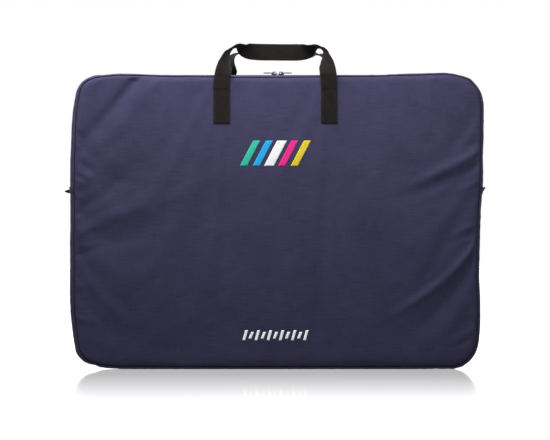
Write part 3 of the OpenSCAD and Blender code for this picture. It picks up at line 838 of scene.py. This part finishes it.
# Each free leg from its fold to the middle of the grip, in millimetres: how far inward, how far towards
# the middle plane and how far above the body, then the direction across the webbing (inward, towards
# the middle plane, up).
LEGS = {
    (FRONT, -1): [
        (0, -0.1, -24, 1, 0, 0), (0.3, -0.5, -14, 1, 0, 0), (1.2, -0.3, -4, 1, 0, 0), (2.5, -0.3, 3, 1, 0.02, 0),
        (4.5, 4.2, 11, 0.88, 0.45, 0), (7, 13, 20.5, 0.68, 0.73, 0), (9.5, 20, 30, 0.48, 0.87, 0),
        (12, 25.5, 38, 0.25, 0.97, 0), (16, 28.2, 45.5, 0.1, 1, -0.05), (22.5, 28.8, 50.8, 0, 1, -0.1),
        (31, 29.6, 52.4, 0, 0.95, -0.3), (40, 33.6, 47.4, 0, 0.67, -0.74), (50, 39, 43.4, 0, 0.3, -0.95),
        (62, 42, 42.2, 0, 0.1, -1), (80, 43, 41.8, 0, 0, -1)],
    (FRONT, 1): [
        (0, -0.1, -24, 1, 0, 0), (0.5, -0.5, -14, 1, 0, 0), (1, -0.3, -4, 1, 0, 0), (2, -0.3, 3, 1, 0.02, 0),
        (3.5, 4.2, 11, 0.95, 0.33, 0), (5.5, 12, 20, 0.8, 0.6, 0), (7.5, 19, 30, 0.5, 0.87, 0),
        (8.5, 25, 39, 0.25, 0.97, 0), (11, 28.2, 46.5, 0.08, 1, -0.05), (17, 28.8, 50.4, 0, 1, -0.1),
        (25.5, 29.6, 51, 0, 0.95, -0.3), (36, 33.2, 46, 0, 0.7, -0.7), (47, 38.6, 42.2, 0, 0.35, -0.95),
        (60, 42, 41, 0, 0.1, -1), (80, 43, 41.2, 0, 0, -1)],
    (BACK, -1): [
        (0, -0.1, -24, 1, 0, 0), (3, -0.5, -14, 1, 0, 0), (7.5, -0.5, -4, 1, 0, 0), (10, -0.4, 3.5, 1, 0.02, 0),
        (13, 4, 11, 0.9, 0.4, 0), (16, 13, 19, 0.68, 0.73, 0), (19.5, 21, 28.5, 0.4, 0.9, 0),
        (24, 26, 36, 0.15, 0.98, 0), (30.5, 28.2, 41, 0, 1, -0.1), (38.5, 29.4, 43.5, 0, 0.93, -0.36),
        (47.5, 33.8, 43.5, 0, 0.66, -0.75), (57, 39, 42.5, 0, 0.3, -0.95), (69, 42, 42, 0, 0.08, -1),
        (85, 43, 41.6, 0, 0, -1)],
    (BACK, 1): [
        (0, -0.1, -24, 1, 0, 0), (0.5, -0.5, -14, 1, 0, 0), (1, -0.5, -4, 1, 0, 0), (1.5, -0.4, 3.5, 1, 0.02, 0),
        (2.8, 4, 11, 0.9, 0.4, 0), (4.5, 13, 19, 0.68, 0.73, 0), (8, 21, 28.5, 0.4, 0.9, 0),
        (13, 26, 34.5, 0.15, 0.98, 0), (20, 28.2, 38.5, 0, 1, -0.1), (29, 29.4, 41, 0, 0.93, -0.36),
        (39, 33.8, 42.5, 0, 0.66, -0.75), (50, 39, 42, 0, 0.3, -0.95), (64, 42, 41.8, 0, 0.08, -1),
        (82, 43, 41.6, 0, 0, -1)],
}


def leg_stations(side, x_side):
    """A leg's stations from its sewn bottom end to the middle of the grip."""
    out = []
    for z in np.linspace(HEIGHT - SEWN_BOTTOM, HEIGHT - SEWN_TOP + 0.002, 12):
        x = x_side * STRAP_X
        y = on_panel(side, np.array([x]), np.array([z]), WEB_T / 2 + 0.0002)[0, 1]
        out.append([x, y, z, -x_side, 0, 0])
    for a, b, c, u, v, w in LEGS[side, x_side]:
        out.append([x_side * (STRAP_X - a / 1000), side * (LEG_Y - b / 1000), HEIGHT + c / 1000,
                    -x_side * u, -side * v, w])
    return out


def smooth_path(stations, steps):
    """Catmull-Rom through the stations: (places, directions across)."""
    p = np.array(stations)
    out = []
    for i in range(len(p) - 1):
        a, b, c, d = p[max(i - 1, 0)], p[i], p[i + 1], p[min(i + 2, len(p) - 1)]
        for t in np.arange(steps) / steps:
            out.append(b + (c - a) * t / 2 + (2 * a - 5 * b + 4 * c - d) * t * t / 2
                       + (3 * b - a - 3 * c + d) * t ** 3 / 2)
    out.append(p[-1])
    out = np.array(out)
    return out[:, :3], out[:, 3:]


def web_section():
    """Half a turn round the webbing: its two faces with soft selvedges, as (across, out) shares."""
    across = np.array([-1, -0.985, -0.94, -0.8, -0.55, -0.28, 0, 0.28, 0.55, 0.8, 0.94, 0.985, 1])
    out = np.array([0.15, 0.62, 0.92, 1, 1, 1, 1, 1, 1, 1, 0.92, 0.62, 0.15])
    return np.concatenate([across, across[::-1]]), np.concatenate([out, -out])


def handle(name, side):
    left, right = leg_stations(side, -1), leg_stations(side, 1)
    places, edges = smooth_path(left + right[::-1], 4)
    ahead = unit(np.gradient(places, axis=0))
    over = unit(edges - ahead * np.sum(edges * ahead, axis=1, keepdims=True))
    out = unit(np.cross(ahead, over))
    s = along(places)
    across, thick = web_section()
    ripple = 0.00012 * wobble(s, 60 + side, 5, 60, 200)
    half_w = WEB_W / 2 + ripple
    rings = (places[:, None] + (across[None] * half_w[:, None])[..., None] * over[:, None]
             + (thick * WEB_T / 2)[None, :, None] * out[:, None])
    uv = np.stack([np.broadcast_to(across * WEB_W / 2, rings.shape[:2]),
                   np.broadcast_to(s[:, None], rings.shape[:2])], -1).reshape(-1, 2)
    worn = np.broadcast_to(np.abs(across) ** 12, rings.shape[:2]).reshape(-1)
    return mesh_object(name, rings.reshape(-1, 3), tube_faces(len(s), len(across)), WEBBING, uv, worn)


def box_stitch_rows(side, x):
    """A box with a cross in it, sewn through one end of a handle."""
    low, high, half = HEIGHT - SEWN_BOTTOM + 0.004, HEIGHT - SEWN_TOP - 0.004, WEB_W / 2 - 0.0028
    corners = [(x - half, low), (x + half, low), (x + half, high), (x - half, high), (x - half, low)]
    lines = [(corners[i], corners[i + 1]) for i in range(4)]
    lines += [(corners[0], corners[2]), (corners[1], corners[3])]
    lines.append(((x - half, high - 0.003), (x + half, high - 0.003)))
    rows = []
    for (x0, z0), (x1, z1) in lines:
        t = np.linspace(0, 1, 12)
        xs, zs = x0 + (x1 - x0) * t, z0 + (z1 - z0) * t
        flat = on_panel(side, np.full(12, x), zs, WEB_T + 0.0002)
        rows.append((np.stack([xs, flat[:, 1], flat[:, 2]], 1), np.tile([0, side, 0], (12, 1))))
    return rows


handles, handle_stitches = {}, {}
for side, word in SIDES:
    handles[side] = handle(f"{word}_handle", side)
    rows = box_stitch_rows(side, -STRAP_X) + box_stitch_rows(side, STRAP_X)
    handle_stitches[side] = stitches(f"{word}_handle_stitches", rows, THREAD, 0.0026, 0.0008, 0.00032)


# ---- zip-end tabs ----

def end_tab(name, sign, tip_x, root_z, tip_z):
    """Webbing folded to a point and sewn into the side seam over the end of the zip."""
    root_x = warp(np.array([sign * HALF_W]), np.array([0.0]), np.array([root_z]))[0][0]
    reach = abs(tip_x - root_x)
    upper = [(-0.004, 0.0036), (0.0, 0.0036), (0.4 * reach, 0.0030), (0.7 * reach, 0.0021), (0.9 * reach, 0.0012)]
    profile = upper + [(reach, 0.0)] + [(d, -h) for d, h in upper[::-1]]
    ys = np.linspace(-0.0115, 0.0115, 15)
    points = []
    for y in ys:
        for d, h in profile:
            lean = (tip_z - root_z) * float(np.clip(d / reach, 0, 1))
            points.append([root_x + sign * d, y * (1 - 0.05 * max(d, 0) / reach), root_z + h + lean])
    uv = [(y, d) for y in ys for d, _ in profile]
    return mesh_object(name, points, tube_faces(len(ys), len(profile)), WEBBING, uv)


tabs = [end_tab("zip_end_tab_folded_left", -1, -0.3838, 0.3228, 0.3232),
        end_tab("zip_end_tab_folded_right", 1, 0.3824, 0.3246, 0.3304)]


# ---- decoration ----

EMBLEM_TINTS = [((0.008, 0.17, 0.12), (0.02, 0.32, 0.23)), ((0.003, 0.13, 0.28), (0.008, 0.24, 0.48)),
                ((0.34, 0.33, 0.34), (0.56, 0.55, 0.56)), ((0.28, 0.004, 0.08), (0.50, 0.010, 0.15)),
                ((0.30, 0.22, 0.006), (0.50, 0.40, 0.020))]


def slanted_bar(x, z, width, height, lean, raise_by, n_across=13, n_up=40):
    """Points of a raised bar on the front, with softly rounded edges, and its UV in metres."""
    u, v = np.meshgrid(np.linspace(-1, 1, n_across), np.linspace(-1, 1, n_up), indexing="ij")
    xs = x + u * width / 2 + v * lean / 2
    zs = z + v * height / 2
    rim = np.minimum((1 - np.abs(u)) * width / 2, (1 - np.abs(v)) * height / 2)
    top = raise_by * np.sqrt(1 - (1 - np.clip(rim / 0.0012, 0, 1)) ** 2)
    outer = on_panel(FRONT, xs.ravel(), zs.ravel(), 0.0001 + top.ravel())
    inner = on_panel(FRONT, xs.ravel(), zs.ravel(), -0.0006)
    uv = np.stack([(zs - z).ravel(), (xs - x).ravel()], 1)
    return outer, inner, n_across, n_up, uv


emblem = []
for i, (width, tints) in enumerate(zip((0.013, 0.013, 0.018, 0.013, 0.013), EMBLEM_TINTS)):
    o, n, rows, cols, uv = slanted_bar((i - 2) * 0.023, 0.392, width, 0.046, 0.024, 0.0009)
    emblem.append(slab(f"emblem_bar_{i + 1}", o, n, rows, cols, satin(f"emblem_thread_{i + 1}", *tints), uv))

PRINT = woven("white_print", (0.50, 0.50, 0.51), (0.80, 0.80, 0.80), 0.0007, slub=0.3, worn=0.0, bump=0.35,
              sheen=0.0, roughness=0.5)
motif = []
for i in range(11):
    o, n, rows, cols, uv = slanted_bar((i - 5) * 0.011, 0.062, 0.005, 0.018 if i % 2 == 0 else 0.012, 0.005,
                                       0.00018, 5, 12)
    motif.append(slab(f"lower_bar_{i + 1}", o, n, rows, cols, PRINT, uv))


# ---- what each piece rides on ----

for piece in (front_panel, front_lining, front_coil, *zip_parts[FRONT], zip_stitches[FRONT], *emblem):
    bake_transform(piece)
for piece in (back_panel, back_lining, lower_gusset, lower_gusset_lining, back_coil, *zip_parts[BACK],
              zip_stitches[BACK], end_stitches, front_lower_binding, back_lower_binding, *tabs, *motif,
              handle_stitches[BACK]):
    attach(piece, SHELL)
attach(handle_stitches[FRONT], FLAP)
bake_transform(handles[FRONT])
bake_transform(handles[BACK])

STANDS_FOR = [
    (front_panel, "front_lower_cover", "front_lower_foam", "front_flap_cover", "front_flap_foam"),
    (back_panel, "back_panel_cover", "back_panel_foam"),
    (front_lining, "front_lower_lining", "front_flap_lining"), (back_lining, "back_panel_lining"),
    (lower_gusset, "lower_gusset_cover", "lower_gusset_foam"), (lower_gusset_lining, "lower_gusset_lining"),
    (zip_parts[FRONT][3], "front_flap_binding"), (front_lower_binding, "front_lower_binding"),
    (back_lower_binding, "back_seam_binding"), (front_coil, "front_zip_coil"), (back_coil, "back_zip_coil"),
    (handles[FRONT], "front_handle_strap", "front_handle_sewn_ends"),
    (handles[BACK], "back_handle_strap", "back_handle_sewn_ends"),
    (tabs[0], "zip_end_tab_left"), (tabs[1], "zip_end_tab_right"),
    (emblem[0], "front_emblem"), (motif[0], "front_lower_motif"),
]
for side, word in SIDES:
    names = (f"{word}_zip_{what}" for what in ("gusset_cover", "gusset_lining", "tape"))
    STANDS_FOR += zip(zip_parts[side], names)
for piece, *nodes in STANDS_FOR:
    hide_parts(*nodes)

covers, insides, tapes, bindings = zip(zip_parts[FRONT], zip_parts[BACK])
for slot_name, pieces in {
    "cover": (front_panel, back_panel, lower_gusset, *covers, *zip_stitches.values(), end_stitches),
    "lining": (front_lining, back_lining, lower_gusset_lining, *insides),
    "zip_tape": tapes,
    "binding": (front_lower_binding, back_lower_binding, *bindings),
    "zip_coil": (front_coil, back_coil),
    "webbing": (*handles.values(), *handle_stitches.values(), *tabs),
    "emblem": emblem,
    "print": motif,
}.items():
    for piece in pieces:
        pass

for node in ("zip_slider_left", "zip_slider_right", "zip_pull_left", "zip_pull_right"):
    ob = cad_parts[node]
    ob.data.materials.clear()
    ob.data.materials.append(METAL)


# ---- camera, light and floor ----

def look(ob, target):
    direction = np.array(target) - np.array(ob.location)
    ob.rotation_euler = Vector(direction).to_track_quat("-Z", "Y").to_euler()


camera = bpy.data.objects.new("camera", bpy.data.cameras.new("camera"))
bpy.context.scene.collection.objects.link(camera)
CAMERA_AWAY, VIEW_WIDTH = 9.0, 1.0024    # distance of the camera, and what it takes in across at the middle plane
camera.location = (-0.0009, -CAMERA_AWAY, 0.271)
camera.data.sensor_width = 36
camera.data.lens = camera.data.sensor_width * CAMERA_AWAY / VIEW_WIDTH
camera.rotation_euler = (math.radians(90), 0, 0)
camera.data.clip_end = 60
bpy.context.scene.camera = camera


def area_light(name, place, target, size, power):
    light = bpy.data.lights.new(name, "AREA")
    light.shape, light.size, light.size_y = "RECTANGLE", size[0], size[1]
    light.energy = power
    ob = bpy.data.objects.new(name, light)
    bpy.context.scene.collection.objects.link(ob)
    ob.location = place
    ob.visible_glossy = False      # a soft light, with no bright patch mirrored in the floor
    look(ob, target)


area_light("top_softbox", (-0.20, -0.39, 1.05), (-0.06, -0.04, 0.50), (1.5, 0.30), 34)
area_light("back_softbox", (0.0, 0.60, 1.15), (0, 0.04, 0.45), (1.5, 0.35), 15)

world = bpy.data.worlds.new("studio")
bpy.context.scene.world = world
world.use_nodes = True
background = world.node_tree.nodes["Background"]
background.inputs["Color"].default_value = (1, 1, 1, 1)
rays = world.node_tree.nodes.new("ShaderNodeLightPath")
level = world.node_tree.nodes.new("ShaderNodeMapRange")
level.inputs["To Min"].default_value = 1.0
level.inputs["To Max"].default_value = 0.028
world.node_tree.links.new(rays.outputs["Is Diffuse Ray"], level.inputs["Value"])
world.node_tree.links.new(level.outputs["Result"], background.inputs["Strength"])
bpy.context.scene.view_settings.view_transform = "Standard"

ground = Nodes("pale_floor")
place = (ground.add("TexCoord"), "Object")
speck = ground.noise(place, 3.0, 2.0)
ahead = ground.math("ABSOLUTE", (ground.add("SeparateXYZ", {0: place}), "Y"))


def by_distance(near, far):
    """A value that changes over the first two metres of floor on either side of the bag."""
    return ground.add("MapRange", {"Value": ahead, "From Min": 0.05, "From Max": 2.4, "To Min": near,
                                   "To Max": far}, interpolation_type="SMOOTHSTEP")


ground.finish(ground.ramp((speck, 0), [(0.3, (0.20, 0.20, 0.20)), (0.7, (0.23, 0.23, 0.23))]), (speck, 0),
              0.01, 0.001, Emission_Color=(1, 1, 1, 1))
ground.feed(ground.shader, "Roughness", by_distance(0.03, 0.14))
ground.feed(ground.shader, "Specular IOR Level", by_distance(0.5, 0.0))
# Painted light: the floor glows, faintly near the bag and brightly about two metres out. This paints the far
# floor white and leaves a dimmer, shaded floor round the bag.
ground.feed(ground.shader, "Emission Strength", by_distance(0.38, 1.25))
floor = mesh_object("floor", [(-20, -20, 0), (20, -20, 0), (20, 20, 0), (-20, 20, 0)], [(0, 1, 2, 3)],
                    ground.material)
floor.location.z = -0.0004
